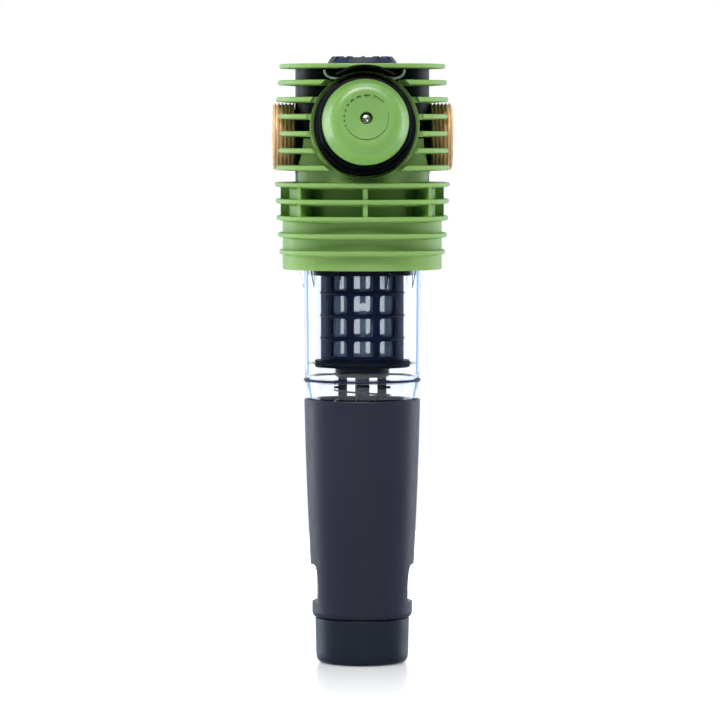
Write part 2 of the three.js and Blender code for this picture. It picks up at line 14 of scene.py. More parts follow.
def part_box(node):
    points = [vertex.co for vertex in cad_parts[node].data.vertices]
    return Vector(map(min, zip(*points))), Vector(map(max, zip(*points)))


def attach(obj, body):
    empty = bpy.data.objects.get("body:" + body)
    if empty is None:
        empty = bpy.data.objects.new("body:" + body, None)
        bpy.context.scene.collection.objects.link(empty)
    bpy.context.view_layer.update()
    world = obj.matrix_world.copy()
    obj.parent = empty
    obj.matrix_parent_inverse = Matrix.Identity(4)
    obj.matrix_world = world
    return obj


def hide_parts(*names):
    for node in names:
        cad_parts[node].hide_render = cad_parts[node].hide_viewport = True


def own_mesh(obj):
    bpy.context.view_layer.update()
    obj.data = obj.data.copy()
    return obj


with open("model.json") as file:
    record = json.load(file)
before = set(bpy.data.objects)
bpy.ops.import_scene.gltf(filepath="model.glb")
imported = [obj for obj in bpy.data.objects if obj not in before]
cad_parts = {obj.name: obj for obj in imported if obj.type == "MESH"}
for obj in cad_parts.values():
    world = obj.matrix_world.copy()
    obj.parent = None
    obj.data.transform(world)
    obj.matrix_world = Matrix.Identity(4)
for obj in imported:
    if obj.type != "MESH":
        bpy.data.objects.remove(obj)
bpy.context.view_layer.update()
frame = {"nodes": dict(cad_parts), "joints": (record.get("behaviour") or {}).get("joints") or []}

MM = 0.001
TAU = 2 * math.pi


# ---------------------------------------------------------------- where things are
class Place:
    """A CAD node's box, in millimetres."""

    def __init__(self, node):
        low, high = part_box(node)
        self.low, self.high = low / MM, high / MM
        self.bottom, self.top = self.low.z, self.high.z
        self.radius = (self.high.x - self.low.x) / 2
        self.middle = (self.low + self.high) / 2


joints = {joint["name"]: joint for joint in frame["joints"]}
knob_axis = Vector(joints["knob_turn"]["axis"])
PORT_Z = joints["knob_turn"]["pos_m"][2] / MM
TILT = math.atan2(knob_axis.z, -knob_axis.y)
TO_CARTRIDGE = Matrix.Translation((0, 0, PORT_Z)) @ Matrix.Rotation(math.pi / 2 - TILT, 4, "X")

top_plate = Place("top_plate")
rear_shell = Place("rear_shell")
collar = Place("bowl_collar")
FIN_PITCH = top_plate.top - rear_shell.top
FIN_THICK = top_plate.top - top_plate.bottom
SHELL_BOTTOM = rear_shell.bottom
FIN_WIDEST = 53.9
FIN_WIDEST_Z = 310.4
FIN_SWEEP_RADIUS = 541
PLAN_POWER = 2.5
CORE_HALF_WIDTH = 41.4
CORE_DEPTH_RATIO = 0.966
PANEL_TOP = PORT_Z - 0.7
PANEL_THICK = 1.5
PANEL_END = 15.3
# The boss and the notches lie along the cartridge's axis, and start where it meets the middle of the ports.
BOSS_RADIUS = 33.1
BOSS_BORE = 31
BOSS_FACE = 47
NOTCH_RADIUS = 35.7
NOTCH_FLOOR = 42
TOP_NOTCH_RADIUS = 35
CLIP_RADIUS = 0.8
SCALE_RADIUS = 13.3
THREAD_PITCH = 2.309
GAP = 0.3
SHELL_SCREWS = ("shell_screw_1", "shell_screw_2", "shell_screw_3", "shell_screw_4")
SCREW_PLACES = [(place.middle.x, place.middle.z) for place in map(Place, SHELL_SCREWS)]


def fin_top(index):
    """The fins are numbered from the top plate, which is fin 0."""
    return top_plate.top - FIN_PITCH * index


def fin_half_width(z):
    """The tips of the fins lie on a large arc."""
    return FIN_WIDEST - (z - FIN_WIDEST_Z) ** 2 / (2 * FIN_SWEEP_RADIUS)


# ---------------------------------------------------------------- meshes
def build(name, vertices, faces):
    """A mesh object from points in millimetres, with its doubled points merged."""
    mesh = bpy.data.meshes.new(name)
    mesh.from_pydata([Vector(v) * MM for v in vertices], [], faces)
    work = bmesh.new()
    work.from_mesh(mesh)
    bmesh.ops.remove_doubles(work, verts=work.verts, dist=1e-7)
    bmesh.ops.dissolve_degenerate(work, edges=work.edges, dist=1e-7)
    bmesh.ops.recalc_face_normals(work, faces=work.faces)
    work.to_mesh(mesh)
    work.free()
    obj = bpy.data.objects.new(name, mesh)
    bpy.context.scene.collection.objects.link(obj)
    return obj


def polar(radius, angle):
    return (radius * math.cos(angle), radius * math.sin(angle))


def lathe(name, outline, sides=128):
    """A round solid about Z.

    The outline is a closed list of (radius, z), or a function of the angle that gives one.
    """
    vertices, faces = [], []
    for i in range(sides):
        angle = TAU * i / sides
        points = outline(angle) if callable(outline) else outline
        vertices += [(*polar(r, angle), z) for r, z in points]
    count = len(points)
    for i in range(sides):
        here, there = i * count, (i + 1) % sides * count
        for k in range(count):
            j = (k + 1) % count
            faces.append((here + k, here + j, there + j, there + k))
    return build(name, vertices, faces)


def rounded(outline, radius=0.4, steps=4):
    """A closed outline with its corners rounded. A point's third number is its own radius."""
    result = []
    for i, point in enumerate(outline):
        here = Vector(point[:2])
        size = point[2] if len(point) > 2 else radius
        before = Vector(outline[i - 1][:2]) - here
        after = Vector(outline[(i + 1) % len(outline)][:2]) - here
        cut = min(size, 0.45 * before.length, 0.45 * after.length)
        if cut <= 0:
            result.append(tuple(here))
            continue
        start = here + before.normalized() * cut
        end = here + after.normalized() * cut
        for step in range(steps + 1):
            t = step / steps
            result.append(tuple(start.lerp(here, t).lerp(here.lerp(end, t), t)))
    return result


def turned(name, outline, radius=0.4, sides=128, steps=4):
    return lathe(name, rounded(outline, radius, steps), sides)


def inset(points, distance):
    """A counter-clockwise outline moved inwards."""
    result = []
    for i, (x, y) in enumerate(points):
        ahead = Vector(points[(i + 1) % len(points)]) - Vector(points[i - 1])
        inwards = Vector((-ahead.y, ahead.x)).normalized()
        result.append((x + inwards.x * distance, y + inwards.y * distance))
    return result


def layered(name, outline, levels):
    """A solid with flat ends from one counter-clockwise outline of (x, y).

    Each level is a pair: how far the outline is moved inwards, and the height.
    """
    count = len(outline)
    vertices, faces = [], []
    for depth, z in levels:
        vertices += [(x, y, z) for x, y in (inset(outline, depth) if depth else outline)]
    for level in range(len(levels) - 1):
        for i in range(count):
            j = (i + 1) % count
            low, high = level * count, (level + 1) * count
            faces.append((low + i, low + j, high + j, high + i))
    faces.append(tuple(range(count)))
    faces.append(tuple(range((len(levels) - 1) * count, len(levels) * count)))
    return build(name, vertices, faces)


def rounding(edge, steps):
    """How far each step of a rounded edge lies inwards and upwards."""
    if not edge:
        return [(0, 0)]
    turns = [step / steps * math.pi / 2 for step in range(steps + 1)]
    return [(edge * (1 - math.sin(turn)), edge * (1 - math.cos(turn))) for turn in turns]


def slab(name, outline, z0, z1, edge=0.4, steps=3):
    """A plate between two heights with rounded edges."""
    layers = rounding(edge, steps)
    levels = [(depth, z0 + rise) for depth, rise in layers]
    levels += [(depth, z1 - rise) for depth, rise in reversed(layers)]
    return layered(name, outline, levels)


def disc(radius, sides):
    return [polar(radius, TAU * i / sides) for i in range(sides)]


def rectangle(x0, x1, y0, y1, radius):
    return rounded([(x0, y0), (x1, y0), (x1, y1), (x0, y1)], radius)


def head_plan(half_width, half_depth, sides=192):
    """The plan of the head: a square with very round corners."""
    points = []
    for i in range(sides):
        c, s = polar(1, TAU * i / sides)
        x = math.copysign(abs(c) ** (2 / PLAN_POWER), c)
        y = math.copysign(abs(s) ** (2 / PLAN_POWER), s)
        points.append((half_width * x, half_depth * y))
    return points


def core_plan(depth):
    """The plan of the head without its fins, moved inwards."""
    return head_plan(CORE_HALF_WIDTH - depth, CORE_HALF_WIDTH * CORE_DEPTH_RATIO - depth)


def moved(obj, matrix):
    """Moves a mesh by a matrix whose shift is in millimetres."""
    shift = matrix.copy()
    shift.translation = shift.translation * MM
    obj.data.transform(shift)
    obj.data.update()
    return obj


def on_cartridge(obj):
    """From a solid about Z to one about the tilted axis of the reducer."""
    return moved(obj, TO_CARTRIDGE)


def turn_z(obj, degrees):
    return moved(obj, Matrix.Rotation(math.radians(degrees), 4, "Z"))


def upright(obj):
    """Stands a plate up, so that its outline runs along X and Z."""
    return moved(obj, Matrix.Rotation(math.pi / 2, 4, "X"))


def along_x(obj, z):
    """Lays a solid about Z along X, at a height."""
    return moved(obj, Matrix.Translation((0, 0, z)) @ Matrix.Rotation(math.pi / 2, 4, "Y"))


def block(x0, x1, y0, y1, z0, z1, edge=0.0, corner=0.0):
    return slab("tool", rectangle(x0, x1, y0, y1, corner), z0, z1, edge)


def rod(radius, z0, z1, sides=96):
    return slab("tool", disc(radius, sides), z0, z1, 0)


def rod_x(radius, x0, x1):
    return along_x(rod(radius, x0, x1), PORT_Z)


def rod_y(radius, y0, y1, x, z):
    to_place = Matrix.Translation((x, 0, z)) @ Matrix.Rotation(math.pi / 2, 4, "X")
    return moved(rod(radius, -y1, -y0, 48), to_place)


def apply_modifiers(obj):
    scene_state = bpy.context.evaluated_depsgraph_get()
    mesh = bpy.data.meshes.new_from_object(obj.evaluated_get(scene_state))
    obj.modifiers.clear()
    obj.data = mesh
    return obj


def boolean(obj, tools, operation):
    """Cuts, joins or meets a solid with tools, which are used up."""
    for tool in tools:
        step = obj.modifiers.new("step", "BOOLEAN")
        step.operation = operation
        step.solver = "MANIFOLD"
        step.object = tool
    apply_modifiers(obj)
    for tool in tools:
        bpy.data.objects.remove(tool)
    return obj


def cut(obj, *tools):
    return boolean(obj, tools, "DIFFERENCE")


def join(obj, *tools):
    return boolean(obj, tools, "UNION")


def meet(obj, *tools):
    return boolean(obj, tools, "INTERSECT")


def soften(obj, width=0.25, angle=50, segments=2):
    """Rounds the sharp edges that a cut leaves."""
    edge = obj.modifiers.new("edge", "BEVEL")
    edge.width = width * MM
    edge.segments = segments
    edge.limit_method = "ANGLE"
    edge.angle_limit = math.radians(angle)
    return apply_modifiers(obj)


def wire(name, points, radius, sides=12):
    """A round wire through points, with flat ends."""
    path = [Vector(p) for p in points]
    vertices, faces = [], []
    side = Vector((0, 0, 1))
    for i, here in enumerate(path):
        ahead = (path[min(i + 1, len(path) - 1)] - path[max(i - 1, 0)]).normalized()
        across = ahead.cross(side).normalized()
        up = across.cross(ahead).normalized()
        for k in range(sides):
            turn = TAU * k / sides
            vertices.append(here + (across * math.cos(turn) + up * math.sin(turn)) * radius)
    for i in range(len(path) - 1):
        for k in range(sides):
            j = (k + 1) % sides
            low, high = i * sides, (i + 1) * sides
            faces.append((low + k, low + j, high + j, high + k))
    faces.append(tuple(range(sides)))
    faces.append(tuple(range((len(path) - 1) * sides, len(path) * sides)))
    return build(name, vertices, faces)


# ---------------------------------------------------------------- materials
def srgb(r, g, b):
    """A display colour of 0 to 255 as the linear colour that a shader takes."""
    values = []
    for channel in (r, g, b):
        c = channel / 255
        values.append(c / 12.92 if c <= 0.04045 else ((c + 0.055) / 1.055) ** 2.4)
    return (*values, 1.0)


class Nodes:
    """A node tree, with short calls to fill it."""

    def __init__(self, tree):
        self.tree = tree

    def add(self, kind, **settings):
        node = self.tree.nodes.new(kind)
        for key, value in settings.items():
            setattr(node, key, value)
        return node

    def link(self, source, target):
        self.tree.links.new(source, target)

    def ramp(self, source, stops, interpolation="LINEAR"):
        node = self.add("ShaderNodeValToRGB")
        node.color_ramp.interpolation = interpolation
        first, last = node.color_ramp.elements
        first.position, first.color = stops[0]
        last.position, last.color = stops[-1]
        for position, color in stops[1:-1]:
            node.color_ramp.elements.new(position).color = color
        self.link(source, node.inputs["Fac"])
        return node.outputs["Color"]

    def spread(self, source, low, high, start=0.3, end=0.7):
        node = self.add("ShaderNodeMapRange")
        node.inputs["From Min"].default_value = start
        node.inputs["From Max"].default_value = end
        node.inputs["To Min"].default_value = low
        node.inputs["To Max"].default_value = high
        self.link(source, node.inputs["Value"])
        return node.outputs["Result"]

    def math(self, operation, a, b=None):
        node = self.add("ShaderNodeMath", operation=operation)
        for value, socket in zip((a, b), node.inputs):
            if value is None:
                continue
            if isinstance(value, (int, float)):
                socket.default_value = value
            else:
                self.link(value, socket)
        return node.outputs["Value"]

    def mix(self, factor, first):
        """A mix node of two colours, with its first colour linked."""
        node = self.add("ShaderNodeMix", data_type="RGBA")
        self.link(factor, node.inputs["Factor"])
        self.link(first, node.inputs["A"])
        return node


class Shader(Nodes):
    """A Principled material."""

    def __init__(self, name):
        self.material = bpy.data.materials.new(name)
        self.material.use_nodes = True
        super().__init__(self.material.node_tree)
        self.principled = self.tree.nodes["Principled BSDF"]
        self.place = self.add("ShaderNodeTexCoord").outputs["Object"]

    def set(self, **values):
        for key, value in values.items():
            self.principled.inputs[key.replace("_", " ")].default_value = value

    def drive(self, source, name):
        """Lets a node's output set one of the shader's inputs."""
        self.link(source, self.principled.inputs[name])

    def noise(self, scale, detail=3.0, roughness=0.5, stretch=None):
        node = self.add("ShaderNodeTexNoise")
        node.inputs["Scale"].default_value = scale
        node.inputs["Detail"].default_value = detail
        node.inputs["Roughness"].default_value = roughness
        place = self.place
        if stretch:
            mapping = self.add("ShaderNodeMapping")
            mapping.inputs["Scale"].default_value = stretch
            self.link(place, mapping.inputs["Vector"])
            place = mapping.outputs["Vector"]
        self.link(place, node.inputs["Vector"])
        return node.outputs["Fac"]

    def bump(self, height, depth, strength):
        node = self.add("ShaderNodeBump")
        node.inputs["Strength"].default_value = strength
        node.inputs["Distance"].default_value = depth
        self.link(height, node.inputs["Height"])
        self.drive(node.outputs["Normal"], "Normal")


def shades(color, down, up):
    """The stops of a ramp from a little darker to a little lighter than a colour."""
    darker = tuple(c * (1 - down) for c in color[:3]) + (1.0,)
    lighter = tuple(min(1.0, c * (1 + up)) for c in color[:3]) + (1.0,)
    return [(0.3, darker), (0.7, lighter)]


def moulded_plastic(name, color, roughness, grain=2600, depth=0.00001, **values):
    """Moulded plastic: a fine spark-eroded grain, faint flow marks in its colour, and uneven gloss."""
    shader = Shader(name)
    flow = shader.noise(38, 4, 0.55, (1, 1, 0.4))
    shader.drive(shader.ramp(flow, shades(color, 0.06, 0.06)), "Base Color")
    gloss = shader.noise(210, 3, 0.6)
    shader.drive(shader.spread(gloss, roughness - 0.04, roughness + 0.05), "Roughness")
    shader.bump(shader.noise(grain, 2, 0.6), depth, 0.6)
    shader.set(**values)
    return shader.material


def machined_metal(name, color, roughness, stretch, metallic=1.0):
    """Turned or drawn metal: fine tool marks along one direction, with a little tarnish."""
    shader = Shader(name)
    tarnish = shader.noise(120, 4, 0.6)
    shader.drive(shader.ramp(tarnish, shades(color, 0.16, 0.08)), "Base Color")
    marks = shader.noise(900, 3, 0.65, stretch)
    shader.drive(shader.spread(marks, roughness - 0.06, roughness + 0.1), "Roughness")
    shader.bump(marks, 0.000012, 0.5)
    shader.set(Metallic=metallic)
    return shader.material


def clear_plastic(name):
    """Clear moulded plastic with a faint blue cast and a few soft ripples; the darker blue towards its
    outline is painted shade, set by the facing angle.
    """
    shader = Shader(name)
    ripple = shader.noise(30, 2, 0.5, (1, 1, 0.25))
    # Painted shade: the tint grows darker and bluer where the surface turns away from view, drawing the
    # bowl's outline.
    edge = shader.add("ShaderNodeLayerWeight")
    edge.inputs["Blend"].default_value = 0.5
    slant = shader.math("ADD", edge.outputs["Facing"], shader.math("MULTIPLY", ripple, 0.04))
    outline_shade_tints = [(0.5, srgb(252, 253, 255)), (0.78, srgb(200, 222, 246)), (0.93, srgb(70, 120, 188))]
    shader.drive(shader.ramp(slant, outline_shade_tints), "Base Color")
    shader.bump(ripple, 0.0002, 0.25)
    shader.set(Roughness=0.02, IOR=1.49, Specular_IOR_Level=0.35, Transmission_Weight=1.0)
    tint = shader.add("ShaderNodeVolumeAbsorption")
    tint.inputs["Color"].default_value = (0.42, 0.72, 1.0, 1)
    tint.inputs["Density"].default_value = 42
    shader.link(tint.outputs["Volume"], shader.tree.nodes["Material Output"].inputs["Volume"])
    return shader.material


def woven_mesh(name, wires_in_turn=360.0, wire_pitch=0.0004):
    """Fine stainless gauze: wires round and up the sleeve, with small openings between them."""
    shader = Shader(name)
    split = shader.add("ShaderNodeSeparateXYZ")
    shader.link(shader.place, split.inputs["Vector"])
    angle = shader.math("ARCTAN2", split.outputs["Y"], split.outputs["X"])
    wires_up = shader.math("SINE", shader.math("MULTIPLY", angle, wires_in_turn))
    wires_round = shader.math("SINE", shader.math("MULTIPLY", split.outputs["Z"], TAU / wire_pitch))
    wires = shader.math("MAXIMUM", wires_up, wires_round)
    shader.drive(shader.spread(wires, 0.1, 0.28, 0.1, 0.6), "Alpha")
    blues = [(0.3, srgb(126, 154, 186)), (0.7, srgb(140, 166, 196))]
    shader.drive(shader.ramp(shader.noise(160, 3, 0.5), blues), "Base Color")
    shader.bump(wires, 0.00006, 0.5)
    shader.set(Roughness=0.45, Metallic=0.25)
    return shader.material


GREEN = moulded_plastic("green_plastic", srgb(124, 163, 86), 0.44, Specular_IOR_Level=0.5)
GREEN_KNOB = moulded_plastic(
    "green_knob_plastic", srgb(118, 162, 82), 0.32, 3200, 0.000006, Specular_IOR_Level=0.7
)
BLACK = moulded_plastic("black_plastic", srgb(7, 10, 16), 0.42, Specular_IOR_Level=0.16)
CAGE_BLACK = moulded_plastic("cage_black_plastic", srgb(8, 18, 50), 0.42, Specular_IOR_Level=0.1)
DIAL_BLACK = moulded_plastic("dial_plastic", srgb(36, 38, 58), 0.45)
CHARCOAL = moulded_plastic("charcoal_plastic", srgb(36, 38, 54), 0.46, 3000, 0.000014, Specular_IOR_Level=0.6)
CUP_GREY = moulded_plastic("cup_plastic", srgb(26, 35, 47), 0.44, 3000, 0.000014, Specular_IOR_Level=0.6)
GREY = moulded_plastic("grey_plastic", srgb(36, 41, 52), 0.42, Specular_IOR_Level=0.4)
CORE_GREY = moulded_plastic("core_grey_plastic", srgb(112, 116, 118), 0.45, Specular_IOR_Level=0.4)
RUBBER = moulded_plastic("black_rubber", srgb(16, 16, 19), 0.62, 1500, 0.00002)
BLUE_RUBBER = moulded_plastic("blue_rubber", srgb(14, 22, 66), 0.5, 1500, 0.00002)
BRASS = machined_metal("turned_brass", srgb(242, 206, 158), 0.36, (6, 1, 1), metallic=0.5)
STEEL = machined_metal("bright_steel", srgb(206, 204, 200), 0.3, (1, 1, 5))
SPRING_STEEL = machined_metal("spring_steel", srgb(96, 98, 104), 0.34, (5, 5, 1))
# The clip's near-white, barely metallic colour is a painted highlight: it stands in for the bright glint of
# polished steel.
CLIP_PAINTED_GLINT = machined_metal("clip_steel_painted_glint", srgb(252, 252, 252), 0.35, (1, 1, 5), metallic=0.1)
CLEAR = clear_plastic("clear_plastic")
GAUZE = woven_mesh("steel_gauze")


def finish(obj, name, body, nodes, material, angle=35):
    """Gives a finished mesh its name, its material and smooth sides, puts it under its body's empty and hides
    the CAD nodes that it stands for.
    """
    obj.name = name
    obj.data.name = name
    obj.data.materials.clear()
    obj.data.materials.append(material)
    obj.data.shade_smooth()
    obj.data.set_sharp_from_angle(angle=math.radians(angle))
    normals = obj.modifiers.new("normals", "WEIGHTED_NORMAL")
    normals.keep_sharp = True
    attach(obj, body)
    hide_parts(*nodes)


# ---------------------------------------------------------------- head
def fin(index):
    """A cooling fin with moulding draft: it grows thicker from its rounded edge towards its root.

    Its root and its tip are each two heights, of the upper and the lower face, from the top of the fin.
    """
    top = fin_top(index)
    half_width = fin_half_width(top - FIN_THICK / 2)
    if index == 0:
        root, tip = (0, -FIN_THICK), (-0.1, 0.3 - FIN_THICK)
    elif index < 7:
        root, tip = (0.5, -3.2), (0.4, -2.5)
    elif index == 7:
        root, tip = (0.2, -3.9), (0.2, -2.4)
    else:
        root, tip = (0.5, -3.8), (0.5, -2.2)
    reach = 11
    layers = rounding(0.9, 4)
    levels = [(reach, top + root[1])]
    levels += [(depth, top + tip[1] + rise) for depth, rise in layers]
    levels += [(depth, top + tip[0] - rise) for depth, rise in reversed(layers)]
    levels.append((reach, top + root[0]))
    return layered("fin", head_plan(half_width, half_width * 1.06), levels)


def clip_points(bend=8):
    """The middle line of the retaining clip: a U that opens upwards."""
    place = Place("retaining_clip")
    half = place.high.x - CLIP_RADIUS
    y, low, high = place.middle.y, place.bottom + CLIP_RADIUS, place.top
    start, corner = Vector((-half, y, high - 0.4)), Vector((-half, y, low))
    end = Vector((-half + bend, y, low))
    points = [(-half, y, high)]
    for step in range(13):
        t = step / 12
        points.append(tuple(start.lerp(corner, t).lerp(corner.lerp(end, t), t)))
    return points + [(-x, y, z) for x, y, z in reversed(points)]


def clip_groove():
    return wire("tool", clip_points(), CLIP_RADIUS + GAP)


def shell_tools():
    """What both shells are cut with: the room for the valve body, the ports and the cartridge."""
    return [
        slab("tool", core_plan(0), PANEL_TOP, 380, 0),
        slab("tool", core_plan(PANEL_THICK), 280, PANEL_TOP + 0.01, 0),
        meet(slab("tool", core_plan(-0.1), 281, 379, 0), block(-60, 60, -PANEL_END, PANEL_END, 270, 390)),
        rod_x(23.4, -60, 60),
        on_cartridge(rod(BOSS_BORE, 0, 60, 128)),
    ]


def swelling():
    """The part of the front wall that carries the boss, and runs out into the wall at both sides."""
    outline = []
    for step in range(-66, 67):
        x = step / 2
        bow = (1 - (abs(x) / CORE_HALF_WIDTH) ** PLAN_POWER) ** (1 / PLAN_POWER)
        wall = CORE_HALF_WIDTH * CORE_DEPTH_RATIO * bow
        outline.append((x, -wall - 9 / (1 + (x / 20) ** 6)))
    outline += [(30, -26), (-30, -26)]
    return slab("tool", outline, SHELL_BOTTOM, fin_top(6) - 1, 0)


def make_front_shell():
    body = fin(1)
    join(body, *[fin(i) for i in (2, 3, 4, 5, 6)])
    cut(body, on_cartridge(rod(NOTCH_RADIUS, NOTCH_FLOOR, 80, 128)))
    panel = slab("tool", core_plan(0), SHELL_BOTTOM, PANEL_TOP, 0.5)
    rim = [
        (20, 30, 0), (BOSS_RADIUS, 30, 0), (BOSS_RADIUS, BOSS_FACE, 0.6), (BOSS_BORE, BOSS_FACE - 3, 0.2),
        (20, BOSS_FACE - 3, 0),
    ]
    join(body, panel, on_cartridge(turned("tool", rim, sides=192)), swelling())
    below = block(-70, 70, -80, 80, 200, SHELL_BOTTOM)
    cut(body, *shell_tools(), block(-70, 70, -0.15, 80, 200, 400), below, clip_groove())
    soften(body, 0.22)
    finish(body, "green_front_shell", "head", ["front_shell"], GREEN)


def make_rear_shell():
    body = fin(1)
    others = [fin(i) for i in (2, 3, 4, 5, 6)]
    panel = slab("tool", core_plan(0), SHELL_BOTTOM, PANEL_TOP, 0.5)
    ribs = []
    for angle, reach in ((90, 53), (50, 55), (130, 55)):
        rib = block(38, reach, -1.4, 1.4, SHELL_BOTTOM, fin_top(1) - 0.5, 0.3)
        ribs.append(turn_z(rib, angle))
    posts = [rod_y(4.6, 30, 50, x, z) for x, z in SCREW_PLACES]
    join(body, *others, panel, *ribs, *posts)
    holes = [rod_y(2.2, 24, 60, x, z) for x, z in SCREW_PLACES]
    holes += [rod_y(3.7, 46.7, 60, x, z) for x, z in SCREW_PLACES]
    cut(body, *shell_tools(), *holes, block(-70, 70, -80, 0.15, 200, 400))
    soften(body, 0.22)
    finish(body, "green_rear_shell", "head", ["rear_shell"], GREEN)


def make_top_plate():
    body = fin(0)
    cut(body, rod(5.3, 360, 380), on_cartridge(rod(TOP_NOTCH_RADIUS, 30, 80, 128)))
    soften(body, 0.3)
    finish(body, "green_top_plate", "head", ["top_plate"], GREEN)


def make_collar():
    bottom = collar.bottom
    band_top = fin_top(7)
    step_z = fin_top(9) - 1
    outline = [
        (40.5, bottom, 0.4), (49, bottom, 0.8), (49, step_z, 0.2), (45, step_z, 0.2), (45, band_top, 0),
        (42.5, band_top, 0), (42.5, 252, 0), (44.2, 252, 0), (44.2, 246.8, 0), (40.5, 246.8, 0.3),
    ]
    wall = turned("skirt", outline, sides=192)
    fins = [fin(i) for i in (7, 8, 9, 10, 11)]
    for plate in fins:
        cut(plate, rod(43.2, 230, 300, 128))
    ribs = []
    for i in range(8):
        reach = (50.2, 56.4, 54.4, 56.4)[i % 4]
        ribs.append(turn_z(block(43.5, reach, -1.45, 1.45, step_z, band_top - 1, 0.25), 45 * i))
    join(wall, *fins, *ribs)
    soften(wall, 0.2)
    finish(wall, "green_skirt", "head", ["bowl_collar"], GREEN)


def make_valve_body():
    place = Place("valve_body")
    # Its black, seen between the upper fins, is partly the body's own colour and partly painted shade: a dark
    # core put where the recesses lie in deep shade.
    body = slab("tool", core_plan(GAP), PANEL_TOP + GAP, place.top, 0.4)
    lower = slab("tool", core_plan(PANEL_THICK + GAP), 291, PANEL_TOP + GAP + 0.5, 0)
    neck = rod(42, 252.3, 291.5, 128)
    port_boss = rod_x(23, -CORE_HALF_WIDTH + GAP, CORE_HALF_WIDTH - GAP)
    front_boss = on_cartridge(rod(BOSS_BORE - 0.4, 18, 39.7, 128))
    cheeks = slab("tool", core_plan(GAP), SHELL_BOTTOM + GAP, PANEL_TOP + 1, 0)
    meet(cheeks, block(-60, 60, GAP - PANEL_END, PANEL_END - GAP, 290, 330))
    # The thin black arch under the top plate's notch is painted shade: a dark sheet that fills the notch
    # where it lies in shadow.
    inner, outer = BOSS_RADIUS + 0.4, TOP_NOTCH_RADIUS - 0.4
    notch_shade_arch = turned("tool", [(inner, 31, 0), (outer, 31, 0), (outer, 58, 0.3), (inner, 58, 0.2)], sides=192)
    meet(on_cartridge(notch_shade_arch), block(-18, 18, -70, -20, 361.9, 380))
    join(body, lower, neck, port_boss, front_boss, cheeks, notch_shade_arch)
    room_for_bowl = [rod(36.9, 240, 263), rod(33, 262, 272)]
    water_ways = [rod_x(14.5, -60, -20), rod_x(14.5, 13, 60)]
    port_seats = [rod_x(19.5, -60, -28), rod_x(19.5, 28, 60)]
    room_for_cartridge = [on_cartridge(rod(27.9, 18, 60)), on_cartridge(rod(BOSS_BORE, 39.7, 60))]
    hub_hole = rod(4.4, 350, 380)
    groove = clip_groove()
    outlet = rod(10, 240, 300)
    cut(body, *room_for_bowl, *water_ways, *port_seats, *room_for_cartridge, hub_hole, groove, outlet)
    pipe = turned("tool", [(10, 243), (13.6, 243), (13.6, 275, 0), (10, 275, 0)])
    join(body, pipe)
    soften(body, 0.25)
    finish(body, "black_valve_body", "head", ["valve_body"], BLACK)


def make_port(side, node):
    """A brass port whose thread climbs one pitch a turn, and fades out at both ends."""
    place = Place(node)
    radius = (place.high.y - place.low.y) / 2
    reach = place.high.x if side > 0 else -place.low.x
    start = CORE_HALF_WIDTH + GAP
    depth = 1.25
    samples = 90

    def outline(angle):
        points = [(14.2, 28.6), (17, 28.6), (17, start), (radius - 0.6, start)]
        for i in range(samples + 1):
            z = start + 0.3 + (reach - 1.5 - start) * i / samples
            wave = 0.5 - 0.5 * math.cos(TAU * (z / THREAD_PITCH - side * angle / TAU))
            fade = min(1, (z - start) / 1.2, max(0, (reach - 0.6 - z) / 1.2))
            points.append((radius - depth * (wave**0.8) * fade - 0.15 * (1 - fade), z))
        points += [(radius - 0.7, reach - 0.7), (radius - 1.3, reach - 0.12), (radius - 1.6, reach)]
        points += [(15.4, reach), (14.8, reach - 0.2), (14.2, reach - 0.9)]
        return points

    body = lathe("port", outline, 160)
    lying = Matrix.Rotation(side * math.pi / 2, 4, "Y") @ Matrix.Rotation(math.pi / 2, 4, "Z")
    moved(body, Matrix.Translation((0, 0, PORT_Z)) @ lying)
    finish(body, f"brass_{node}", "head", [node], BRASS, 40)


def make_screw(node, seat=27):
    """A screw of the two shells, with a cross in its head."""
    place = Place(node)
    x, z = place.middle.x, place.middle.z
    length = place.high.y - seat
    outline = [(0, 0, 0), (1.9, 0, 0.2), (1.9, 20.1, 0), (3.4, 20.1, 0.2), (3.4, 21.2, 1.1), (0, length, 0)]
    body = turned("screw", outline, sides=48)
    cut(body, block(-2.1, 2.1, -0.45, 0.45, 21.2, 24), block(-0.45, 0.45, -2.1, 2.1, 21.2, 24))
    moved(body, Matrix.Translation((x, seat, z)) @ Matrix.Rotation(-math.pi / 2, 4, "X"))
    finish(body, f"steel_{node}", "head", [node], STEEL)


def make_dial():
    place = Place("reminder_dial")
    z, r = place.bottom, place.radius
    outline = [
        (5.6, z), (r, z, 0.3), (r, z + 0.7, 0.4), (r - 3.3, z + 3.75, 0.9), (8.2, z + 3.75, 0.3),
        (8.2, z + 2.05, 0.2), (5.6, z + 2.05),
    ]
    body = turned("dial", outline, sides=144)
    ribs = []
    for i in range(12):
        rib = slab("tool", rectangle(13, r - 0.4, -1.0, 1.0, 0.8), z + 1, z + 4.4, 0.7)
        ribs.append(turn_z(rib, 30 * i))
    join(body, *ribs)
    slope = [(r - 3.3, z + 4.85, 0), (r - 0.05, z + 1.0, 0), (r + 4, z + 1.0, 0), (r + 4, z + 4.85, 0)]
    cut(body, turned("tool", slope))
    marks = []
    for i in range(12):
        end = 11.8 if i % 3 == 0 else 10.9
        marks.append(turn_z(block(9.6, end, -0.22, 0.22, z + 3.45, z + 4.6), 30 * i))
    cut(body, *marks)
    soften(body, 0.12)
    finish(body, "black_reminder_dial", "dial", ["reminder_dial"], DIAL_BLACK)


